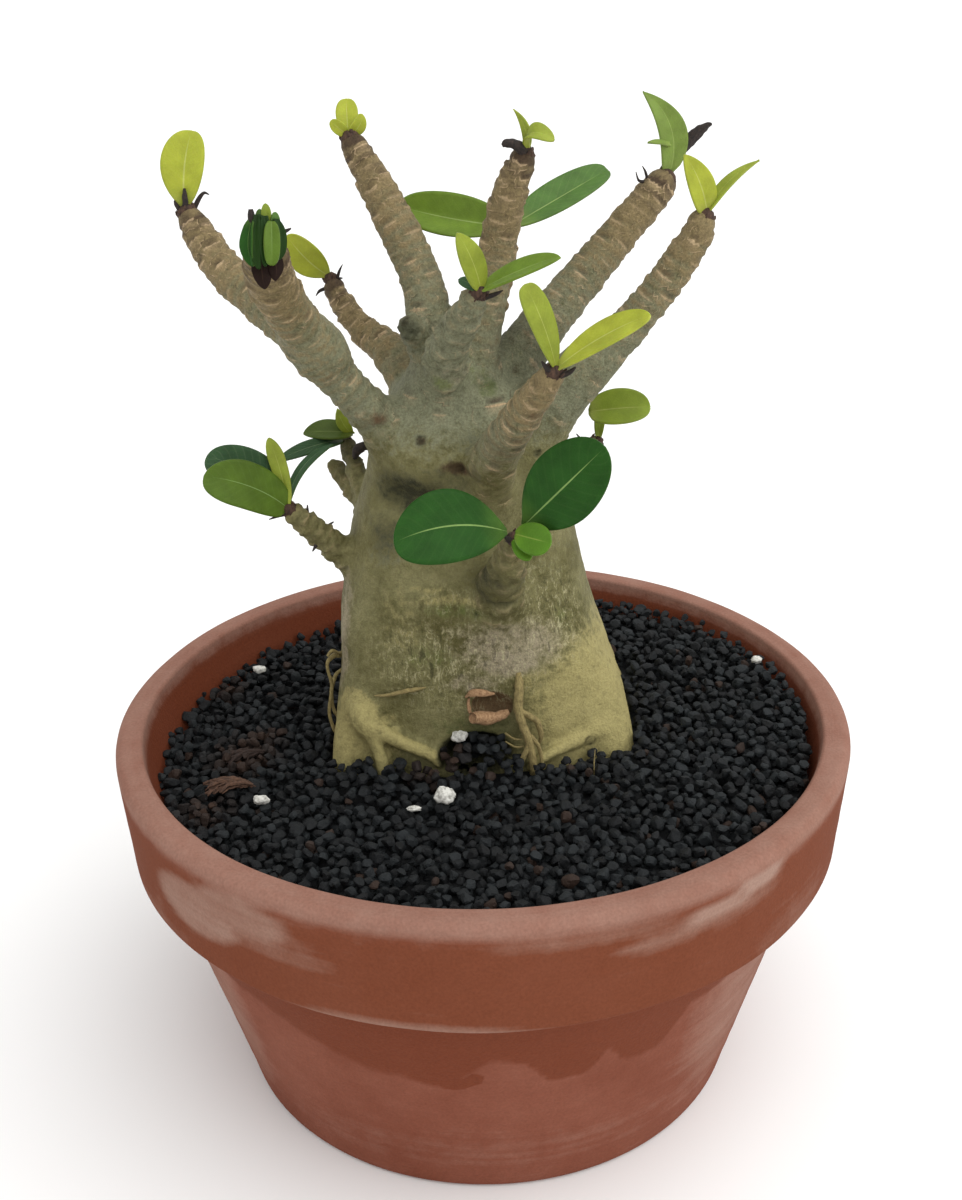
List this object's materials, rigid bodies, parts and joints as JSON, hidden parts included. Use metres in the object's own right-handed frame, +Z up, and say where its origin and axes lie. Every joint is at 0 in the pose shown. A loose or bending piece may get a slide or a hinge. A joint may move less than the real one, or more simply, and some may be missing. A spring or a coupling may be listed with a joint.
{
  "type": "potted desert rose adenium",
  "caption": "Bonsai-like desert rose with a swollen caudex, ringed branches and sprays of glossy leaves, in a low collared terracotta pot dressed with black grit.",
  "frame": {"origin": "centre of the pot's foot, on the surface it stands on", "axes": "+Z up along the pot's axis; -Y towards the plant's front; +X to the right seen from the front"},
  "size_m": [0.2, 0.2, 0.2634],
  "materials": {
    "terracotta": "matte",
    "potting_mix": "matte",
    "black_grit": "matte",
    "bark": "matte",
    "young_leaf": "satin",
    "old_leaf": "satin",
    "perlite": "matte",
    "dead_bark": "matte"
  },
  "bodies": {
    "root": {"pot": "terracotta", "potting_mix": "potting_mix", "grit_dressing": "black_grit", "caudex": "bark", "leaves_far_left": "young_leaf", "leaves_left_front": "old_leaf", "leaves_left_back": "young_leaf", "leaves_centre_left": "young_leaf", "leaves_centre": "young_leaf", "leaves_centre_back": "old_leaf", "leaves_centre_twig": "young_leaf", "leaves_right_back": "young_leaf", "leaves_right": "young_leaf", "leaves_front": "young_leaf", "leaves_low_front": "old_leaf", "leaves_low_right": "young_leaf", "leaves_low_left": "old_leaf", "leaves_low_back": "old_leaf", "perlite_1": "perlite", "perlite_2": "perlite", "perlite_3": "perlite", "perlite_4": "perlite", "perlite_5": "perlite", "perlite_6": "perlite", "bark_chip_1": "dead_bark", "bark_chip_2": "dead_bark"}
  },
  "joints": []
}
